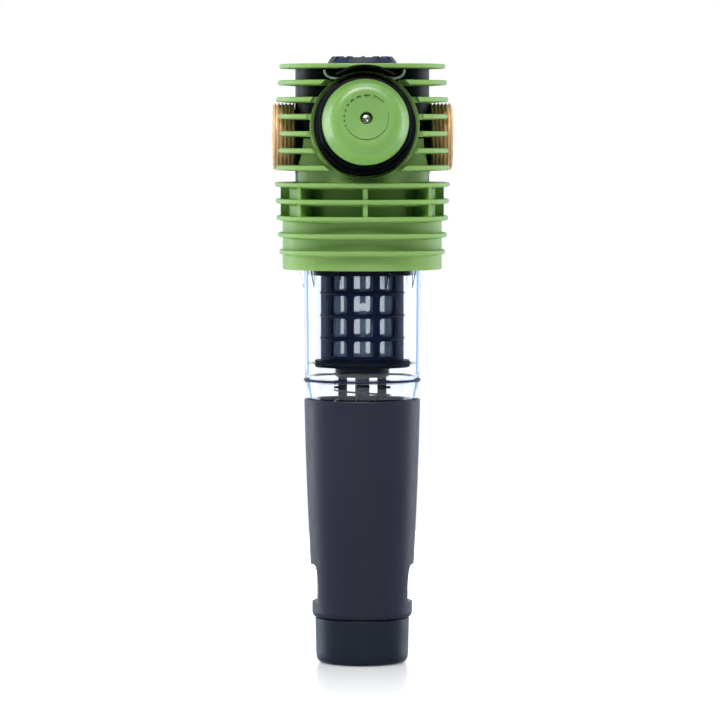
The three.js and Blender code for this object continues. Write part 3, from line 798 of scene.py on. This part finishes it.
def make_dial_hub():
    hub = Place("dial_hub")
    outline = [
        (0, hub.bottom, 0), (4.1, hub.bottom), (4.1, 366, 0), (5, 366, 0), (5, 371.7, 0), (7.8, 371.7, 0.3),
        (7.8, hub.top, 0.5), (0, hub.top, 0),
    ]
    pin = turned("hub", outline)
    cut(pin, block(-4, 4, -0.5, 0.5, hub.top - 0.7, hub.top + 1))
    finish(pin, "black_dial_hub", "head", ["dial_hub"], DIAL_BLACK)


def make_clip():
    clip = wire("clip", clip_points(), CLIP_RADIUS, 24)
    # The clip's near-white colour is a painted highlight.
    finish(clip, "steel_retaining_clip", "head", ["retaining_clip"], CLIP_PAINTED_GLINT)


# ---------------------------------------------------------------- cartridge
def make_bonnet():
    outline = [
        (15.5, 21, 0), (27.6, 21, 0), (27.6, 40, 0), (30.6, 40, 0.3), (30.6, 48.6, 0.3), (29.8, 49.5, 0.5),
        (20, 49.5, 0), (20, 55.3, 0.3), (5.3, 55.3, 0.3), (5.3, 44, 0), (15.5, 44, 0),
    ]
    body = turned("bonnet", outline, sides=160)
    corners = [polar(29.8, (i + 0.5) * math.pi / 4) for i in range(8)]
    nut = cut(slab("nut", rounded(corners, 7, 8), 49.2, 55.3, 0.9, 4), rod(15, 49, 56))
    join(body, nut)
    on_cartridge(body)
    cut(body, clip_groove())
    finish(body, "black_bonnet", "head", ["bonnet"], BLACK)


def scale_mark(angle, size, width):
    """A mark of the pressure scale, as a tool to engrave it: size is its length round the scale."""
    half = size / 2
    corners = [(-half, -width / 2), (half, -width / 2), (half, width / 2), (-half, width / 2)]
    mark = slab("tool", rounded(corners, min(half, width / 2) * 0.7), 73.7, 76, 0)
    return turn_z(moved(mark, Matrix.Translation((0, SCALE_RADIUS, 0))), angle - 90)


def scale_arc(start, end, width=0.5, steps=60):
    """The thin line of the scale, as a tool to engrave it."""
    inner, outer = [], []
    for i in range(steps + 1):
        angle = math.radians(start + (end - start) * i / steps)
        inner.append(polar(SCALE_RADIUS - width / 2, angle))
        outer.append(polar(SCALE_RADIUS + width / 2, angle))
    return slab("tool", outer + inner[::-1], 74, 76, 0)


def scale_wedge(start=72, turn=30, half=1.1, steps=12):
    """The last mark of the scale, as a tool to engrave it: it narrows towards its end."""
    inner, outer = [], []
    for i in range(steps + 1):
        angle = math.radians(start - turn * i / steps)
        left = (angle - math.radians(start - turn)) / math.radians(turn)
        inner.append(polar(SCALE_RADIUS - half + 1.3 * (1 - left), angle))
        outer.append(polar(SCALE_RADIUS + half, angle))
    return slab("tool", inner + outer[::-1], 73.9, 76, 0)


def make_knob():
    radius = Place("pressure_knob").radius
    outline = [
        (radius, 57, 0.5), (radius, 59.5, 1.2), (25.3, 62.6, 2.6), (20.7, 74.9, 4.8), (3.8, 74.3, 0.3),
        (3.8, 69.7, 0), (2.3, 69.7, 0), (2.3, 66.3, 0), (5.4, 66.3, 0), (5.4, 57.6, 0), (8, 57.6, 0),
        (8, 68, 0), (18, 68, 0), (22.9, 61.5, 0), (24, 57, 0.4),
    ]
    body = turned("knob", outline, sides=192, steps=8)
    dots = [
        (-147, 0.9, 0.8), (-159, 1.0, 0.85), (-172, 1.2, 0.9), (176, 1.4, 0.95), (161, 1.6, 1.0),
        (146, 1.9, 1.1), (129, 2.5, 1.3), (110, 3.0, 1.5), (88, 4.1, 1.7),
    ]
    cut(body, scale_arc(-140, 14), *[scale_mark(*dot) for dot in dots], scale_wedge())
    on_cartridge(body)
    finish(body, "green_pressure_knob", "knob", ["pressure_knob"], GREEN_KNOB, 32)


def make_knob_screw():
    outline = [(0, 59, 0), (1.9, 59, 0.3), (1.9, 70, 0), (2.9, 70, 0.2), (2.9, 71.5, 0.9), (0, 72.4, 0)]
    screw = turned("screw", outline, sides=64)
    cross = [block(-1.75, 1.75, -0.35, 0.35, 71.3, 73), block(-0.35, 0.35, -1.75, 1.75, 71.3, 73)]
    cut(screw, *cross)
    soften(screw, 0.06)
    on_cartridge(turn_z(screw, 28))
    finish(screw, "steel_knob_screw", "knob", ["knob_screw"], STEEL)


# ---------------------------------------------------------------- bowl and insert
def make_bowl():
    place = Place("clear_bowl")
    z = place.bottom
    outside = [
        (12.4, z, 0.3), (27, z, 1.5), (28.8, z + 2.5, 1.5), (32.9, 160, 6), (34.2, 169, 4),
        (35.4, 173.9, 0.3), (34.4, 173.9, 0.1), (34.4, 176.1, 0.1), (35.3, 176.1, 0.3), (36, 232, 6),
        (36, 247.1, 0.3),
        (43.4, 247.1, 0.3), (43.4, 251, 0.3), (36.4, 251, 0.2), (36.4, 255.5, 0.1), (34.9, 255.5, 0.1),
        (34.9, 258.6, 0.1), (36.4, 258.6, 0.1), (36.4, place.top, 0.4),
    ]
    inside = [
        (33, place.top, 0.4), (33, 251, 1), (33.9, 246, 1), (33.7, 180, 5), (32.7, 171, 5), (31.1, 160, 5),
        (29.3, 126.2, 0.2), (27.6, 126.2, 0.3), (25.5, 76, 1.5), (12.4, 76, 0.3),
    ]
    body = turned("bowl", outside + inside, sides=192)
    gusset = rounded([(35, 231.4), (36, 231.4), (39.3, 247), (39.3, 248), (35, 248)], 0.2)
    gussets = []
    for angle in (-90, -57, -24, 24, 57, 90):
        for side in (0, 180):
            if abs(angle) == 90 and side:
                continue
            gussets.append(turn_z(upright(slab("tool", gusset, -0.6, 0.6, 0.45)), angle - 90 + side))
    join(body, *gussets)
    finish(body, "clear_bowl_shell", "head", ["clear_bowl"], CLEAR, 30)


def o_ring(name, node, tube_radius):
    """A round ring as wide as its node's box."""
    place = Place(node)
    radius, z = place.radius - tube_radius, place.middle.z
    return lathe(name, [(radius + x, z + y) for x, y in disc(tube_radius, 20)], 160)


def make_bowl_rings():
    band = o_ring("band", "band_o_ring", 0.8)
    finish(band, "blue_band_o_ring", "head", ["band_o_ring"], BLUE_RUBBER)
    upper = o_ring("upper", "bowl_o_ring", 1.2)
    finish(upper, "black_bowl_o_ring", "head", ["bowl_o_ring"], RUBBER)


def make_insert_guide():
    guide = Place("insert_guide")
    z, r = guide.bottom, guide.radius
    outline = [
        (26.9, z, 0.3), (r, z, 0.5), (r, z + 6, 0.4), (r - 0.8, z + 7.4, 0.4), (r - 0.8, guide.top),
        (30.2, guide.top), (30.2, z + 3.2, 0.6), (26.9, z + 3.2),
    ]
    finish(turned("guide", outline), "black_insert_guide", "head", ["insert_guide"], BLACK)


def make_cage(row_pitch=13.9, half=5.8):
    """Four rows of windows in front and behind, with a ring round the cage between the rows."""
    place = Place("filter_cage")
    low, high = place.bottom, place.top
    outline = [
        (23.4, low, 0.2), (25.5, low, 0.3), (25.5, high, 0.5), (14, high, 0.3), (14, high - 3, 0),
        (23.4, high - 3, 0),
    ]
    body = turned("cage", outline, sides=180)
    first = low + 0.7
    windows = []
    for row in range(4):
        top = first + row_pitch * row + 11.2
        bottom = max(first + row_pitch * row, low + 2.5)
        corner = 0.35 if row == 0 else 2.2
        corners = [(-half, bottom, corner), (half, bottom, corner), (half, top, 2.2), (-half, top, 2.2)]
        for turn in (-36, 0, 36):
            windows.append(turn_z(upright(slab("tool", rounded(corners, steps=6), -40, 40, 0)), turn))
    cut(body, *windows)
    rings = []
    for row in (1, 2, 3):
        z = first + row_pitch * row - 1.35
        low_edge = [(24.2, z - 0.75, 0), (25.6, z - 0.75, 0)]
        high_edge = [(25.6, z + 0.75, 0), (24.2, z + 0.75, 0)]
        rings.append(turned("tool", low_edge + [(26.3, z, 0.5)] + high_edge, sides=180))
    join(body, *rings)
    soften(body, 0.25, 55)
    finish(body, "black_filter_cage", "insert", ["filter_cage"], CAGE_BLACK)


def make_gauze():
    """A thin sleeve with fine upright pleats."""
    gauze = Place("filter_mesh")
    low, high = gauze.bottom, gauze.top

    def pleated(angle):
        fold = 0.12 * math.cos(180 * angle)
        return [(22.75 + fold, low), (22.95 + fold, low), (22.95 + fold, high), (22.75 + fold, high)]

    sleeve = lathe("sleeve", pleated, 1440)
    finish(sleeve, "gauze_sleeve", "insert", ["filter_mesh"], GAUZE, 60)


def make_core(post_count=7, first_turn=-91):
    """Upright posts between two rings. The post in front has a cross hole."""
    place = Place("mesh_core")
    low, high = place.bottom, place.top
    body = turned("core", [(15, low), (21.5, low), (21.5, low + 2.5), (15, low + 2.5)])
    upper = turned("tool", [(15, high - 2.5), (21.5, high - 2.5), (21.5, high), (15, high)])
    posts = []
    for i in range(post_count):
        post = block(18.2, 22.2, -1.8, 1.8, low, high, 0.3, 0.5)
        posts.append(turn_z(post, 360 / post_count * i + first_turn))
    join(body, upper, *posts)
    cut(body, rod_y(2.5, -30, -15, -0.35, 220.6))
    soften(body, 0.25)
    finish(body, "grey_mesh_core", "insert", ["mesh_core"], CORE_GREY)


def make_flange():
    place = Place("insert_flange")
    z, r = place.bottom, place.radius
    outline = [
        (12, z), (r, z, 0.5), (r, z + 1.3, 0.2), (27.3, z + 1.3, 0.1), (27.3, z + 3.5, 0.1),
        (r, z + 3.5, 0.2), (r, z + 4.4, 0.3), (12, z + 4.4),
    ]
    body = turned("flange", outline, 0.3, 160)
    finish(body, "black_insert_flange", "insert", ["insert_flange"], CAGE_BLACK)


def make_lip_seal():
    lip = Place("lip_seal")
    outline = [
        (27.6, lip.bottom), (29.6, lip.bottom, 0.3), (lip.radius, lip.bottom + 0.45, 0.3),
        (lip.radius, lip.bottom + 1.15, 0.3), (29.6, lip.top, 0.3), (27.6, lip.top),
    ]
    ring = turned("lip", outline, 0.1, 160)
    finish(ring, "black_lip_seal", "insert", ["lip_seal"], RUBBER)


def make_carrier():
    """A ribbed collar on four legs with hooks, and a ring at their feet."""
    place = Place("insert_carrier")
    low, high = place.bottom, place.top
    outline = [(12, 176.2), (16.4, 176.2)]
    for i in range(4):
        z = 176.6 + 1.5 * i
        outline += [(16.2, z, 0.05), (17, z + 0.3, 0.2), (17, z + 0.75, 0.2), (16.2, z + 1.05, 0.05)]
    outline += [(15.6, high - 0.3), (15.6, high, 0.1), (12, high)]
    body = turned("carrier", outline, 0.15)
    legs = [turn_z(block(9.4, 14.8, -3.9, 3.9, low, 177, 0.3, 0.7), 90 * i) for i in range(4)]
    hooks = [turn_z(block(14, 17.3, -3.9, 3.9, 171.4, 173, 0.4, 0.6), 90 * i) for i in range(4)]
    base = turned("tool", [(9.4, low), (14.6, low), (14.6, low + 3.5), (9.4, low + 3.5)])
    join(body, *legs, *hooks, base)
    soften(body, 0.15)
    finish(body, "grey_insert_carrier", "insert", ["insert_carrier"], GREY)


def make_return_spring(wire_radius=0.7, turns=4.5, steps=260):
    place = Place("return_spring")
    low, high = place.bottom + wire_radius, place.top - wire_radius
    points = []
    for i in range(steps + 1):
        t = i / steps
        points.append((*polar(17, -TAU * turns * t), low + (high - low) * t))
    spring = wire("spring", points, wire_radius)
    finish(spring, "steel_return_spring", "head", ["return_spring"], SPRING_STEEL)
    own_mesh(spring)


# ---------------------------------------------------------------- wheel and drain
def make_wheel():
    """The grip sleeve, with a recess for the fingers at each side."""
    place = Place("backwash_wheel")
    top, bottom, r = place.top, place.bottom, place.radius
    outline = [
        (33.9, top, 0.4), (r, top, 0.8), (34.9, 130, 20), (33.6, 96, 20), (31.9, 62, 6), (30.9, 38, 3),
        (30.9, 31.2, 0.8), (29.9, bottom, 0.5), (16.6, bottom, 0.3), (16.6, 31.6, 0.3), (25.9, 31.6, 0.8),
        (25.9, 66, 1), (29.4, 70, 1),
    ]
    body = turned("wheel", outline, sides=192)
    recess = [
        (50, 38, 0), (27.5, 38, 1.2), (27.5, 50, 4), (27.9, 55, 3), (28.6, 59, 2), (29.6, 61.5, 0.8),
        (50, 61.5, 0),
    ]
    cut(body, *[turn_z(upright(slab("tool", rounded(recess), -25, 25, 0)), turn) for turn in (0, 180)])
    soften(body, 0.5, 40, 3)
    finish(body, "charcoal_backwash_wheel", "wheel", ["backwash_wheel"], CHARCOAL)


def make_cup():
    """The drain cup: four spokes carry a hub and the sleeve that turns on the nozzle."""
    place = Place("drain_cup")
    top, r = place.top, place.radius
    outline = [
        (20.5, 0, 0.5), (24.4, 0, 1.2), (26.6, 0.8, 1.2), (27.9, 2.6, 1.2), (28.4, 5.5, 3),
        (r, top - 0.6, 0.4), (r - 0.6, top, 0.3), (26.8, top, 0.3), (26.2, 5.5, 1.5), (20.5, 3.2, 0.4),
    ]
    body = turned("cup", outline, sides=160)
    hub = turned("tool", [(0, 0, 0), (7.5, 0, 0.4), (7.5, 5, 0.4), (0, 5, 0)])
    spokes = [turn_z(block(6.5, 22, -1.5, 1.5, 0, 3.2, 0.3), 45 + 90 * i) for i in range(4)]
    sleeve = turned("tool", [(12.4, 2.8), (14.8, 2.8), (14.8, 26), (12.4, 26)])
    join(body, hub, *spokes, sleeve)
    cut(body, rod(3.4, 2.5, 10))
    soften(body, 0.25)
    finish(body, "charcoal_drain_cup", "cup", ["drain_cup"], CUP_GREY)


def make_drain_nozzle():
    """The pipe under the bowl, with a slot that the lift pin moves in."""
    nozzle = Place("drain_nozzle")
    outline = [
        (9.5, nozzle.bottom), (12, nozzle.bottom, 0.8), (12, 76.3, 0), (15.5, 76.3), (15.5, nozzle.top),
        (9.5, nozzle.top),
    ]
    body = turned("nozzle", outline)
    cut(body, block(-20, 20, -2.2, 2.2, 43.8, 53.6))
    soften(body, 0.2)
    finish(body, "black_drain_nozzle", "head", ["drain_nozzle"], BLACK)


def make_drain_valve():
    """The plug and its stem, with the pin across the stem."""
    pin = Place("lift_pin")
    start, end = pin.low.x, pin.high.x
    bar = turned("pin", [(0, start, 0), (1.5, start, 0.4), (1.5, end, 0.4), (0, end, 0)], sides=48)
    along_x(bar, pin.middle.z)
    finish(bar, "steel_lift_pin", "drain_valve", ["lift_pin"], STEEL)
    place = Place("drain_piston")
    z, top = place.bottom, place.top
    outline = [
        (0, z, 0), (3, z, 0.8), (3, 77, 0), (8.3, 77, 0.5), (8.3, 80.9, 0), (13, 80.9, 0.3), (13, top, 0.8),
        (0, top, 0),
    ]
    piston = turned("piston", outline, sides=96)
    cut(piston, along_x(rod(1.8, -10, 10, 48), pin.middle.z))
    finish(piston, "grey_drain_piston", "drain_valve", ["drain_piston"], GREY)


# ---------------------------------------------------------------- pieces that stay as the CAD has them
def dress_hidden():
    looks = {
        BRASS: ("adjusting_spindle", "spring_plate", "reducer_stem"),
        STEEL: ("setting_spring", "top_screw_1", "top_screw_2"),
        RUBBER: ("inlet_seal", "outlet_seal", "diaphragm", "cartridge_seal", "valve_disc", "drain_seal"),
        BLACK: ("spring_seat", "nozzle_nut", "cam_ring"),
    }
    for material, nodes in looks.items():
        for node in nodes:
            mesh = frame["nodes"][node].data
            mesh.materials.clear()
            mesh.materials.append(material)


# ---------------------------------------------------------------- studio
def make_floor():
    """A pale round floor that glows with painted light, weakly near the part and brighter away from it."""
    mesh = bpy.data.meshes.new("floor")
    mesh.from_pydata([(x, y, 0) for x, y in disc(0.9, 96)], [], [tuple(range(96))])
    ground = bpy.data.objects.new("floor", mesh)
    bpy.context.scene.collection.objects.link(ground)
    shader = Shader("pale_floor")
    greys = [(0.3, (0.86, 0.86, 0.86, 1)), (0.7, (0.88, 0.88, 0.88, 1))]
    shader.drive(shader.ramp(shader.noise(3, 2), greys), "Base Color")
    away = shader.add("ShaderNodeVectorMath", operation="LENGTH")
    shader.link(shader.place, away.inputs[0])
    # Painted light: the floor's glow is weaker near the part and stronger further out, so the far floor reads
    # white.
    shader.drive(shader.spread(away.outputs["Value"], 0.18, 0.75, 0.05, 0.4), "Emission Strength")
    shader.set(Roughness=0.2, Emission_Color=(1, 1, 1, 1))
    mesh.materials.append(shader.material)
    ground.visible_glossy = False


def make_world():
    """A white room, seen in three ways.

    The camera sees plain white. Light that passes straight through the clear bowl comes from a bright room
    on every side. Reflections show a backdrop that is dark in front of the part and white behind it.
    """
    world = bpy.data.worlds.new("studio")
    bpy.context.scene.world = world
    world.use_nodes = True
    nodes = Nodes(world.node_tree)
    split = nodes.add("ShaderNodeSeparateXYZ")
    nodes.link(nodes.add("ShaderNodeTexCoord").outputs["Generated"], split.inputs["Vector"])
    dark, blue, white = (0.03, 0.04, 0.06, 1), (0.3, 0.5, 0.8, 1), (1.3, 1.3, 1.3, 1)
    backdrop = nodes.ramp(split.outputs["Y"], [(0.3, dark), (0.8, blue), (0.93, white)], "EASE")
    bright = nodes.ramp(split.outputs["Y"], [(0.3, (0.8, 0.9, 1.0, 1)), (0.93, white)])
    path = nodes.add("ShaderNodeLightPath")
    not_reflected = nodes.math("LESS_THAN", path.outputs["Glossy Depth"], 0.5)
    passed_through = nodes.math("MULTIPLY", path.outputs["Is Transmission Ray"], not_reflected)
    room = nodes.mix(passed_through, backdrop)
    nodes.link(bright, room.inputs["B"])
    seen = nodes.mix(path.outputs["Is Camera Ray"], room.outputs["Result"])
    seen.inputs["B"].default_value = (1, 1, 1, 1)
    nodes.link(seen.outputs["Result"], nodes.tree.nodes["Background"].inputs["Color"])


def softbox(name, place, width, height, power, reflected=True):
    """A soft lamp that faces the part. One that is not reflected isn't seen through the bowl either."""
    data = bpy.data.lights.new(name, "AREA")
    data.shape = "RECTANGLE"
    data.size, data.size_y, data.energy = width, height, power
    lamp = bpy.data.objects.new(name, data)
    lamp.location = place
    lamp.visible_glossy = reflected
    lamp.visible_transmission = reflected
    lamp.rotation_euler = (Vector((0, 0, 0.2)) - Vector(place)).to_track_quat("-Z", "Y").to_euler()
    bpy.context.scene.collection.objects.link(lamp)


def make_lamps():
    softbox("overhead", (0, 0, 2.0), 1.2, 1.2, 10)
    softbox("front_top", (-0.2, -1.5, 1.9), 1.3, 1.0, 42)
    softbox("left_fill", (-1.6, -0.1, 0.35), 0.9, 1.2, 18, False)
    softbox("right_fill", (1.6, -0.1, 0.35), 0.9, 1.2, 16, False)
    softbox("left_rim", (-1.4, 0.95, 0.35), 0.7, 1.3, 7.5)
    softbox("right_rim", (1.4, 0.95, 0.35), 0.7, 1.3, 6)


def make_camera():
    """A long lens from a little above, turned two degrees to the left of the front."""
    lens = bpy.data.cameras.new("camera")
    lens.sensor_width = 36
    lens.lens = 225
    lens.clip_start, lens.clip_end = 0.1, 50
    camera = bpy.data.objects.new("camera", lens)
    bpy.context.scene.collection.objects.link(camera)
    yaw, distance = math.radians(2), 2.77
    camera.location = (-math.sin(yaw) * distance, -math.cos(yaw) * distance, 0.3316)
    aim = Vector((-0.00136, 0, 0.187))
    camera.rotation_euler = (aim - camera.location).to_track_quat("-Z", "Y").to_euler()
    bpy.context.scene.camera = camera
    bpy.context.scene.view_settings.view_transform = "Standard"
    bpy.context.scene.view_settings.look = "None"


make_front_shell()
make_rear_shell()
make_top_plate()
make_collar()
make_valve_body()
make_port(-1, "inlet_port")
make_port(1, "outlet_port")
for screw_node in SHELL_SCREWS:
    make_screw(screw_node)
make_dial()
make_dial_hub()
make_clip()
make_bonnet()
make_knob()
make_knob_screw()
make_bowl()
make_bowl_rings()
make_insert_guide()
make_cage()
make_gauze()
make_core()
make_flange()
make_lip_seal()
make_carrier()
make_return_spring()
make_wheel()
make_cup()
make_drain_nozzle()
make_drain_valve()
dress_hidden()
make_floor()
make_world()
make_lamps()
make_camera()
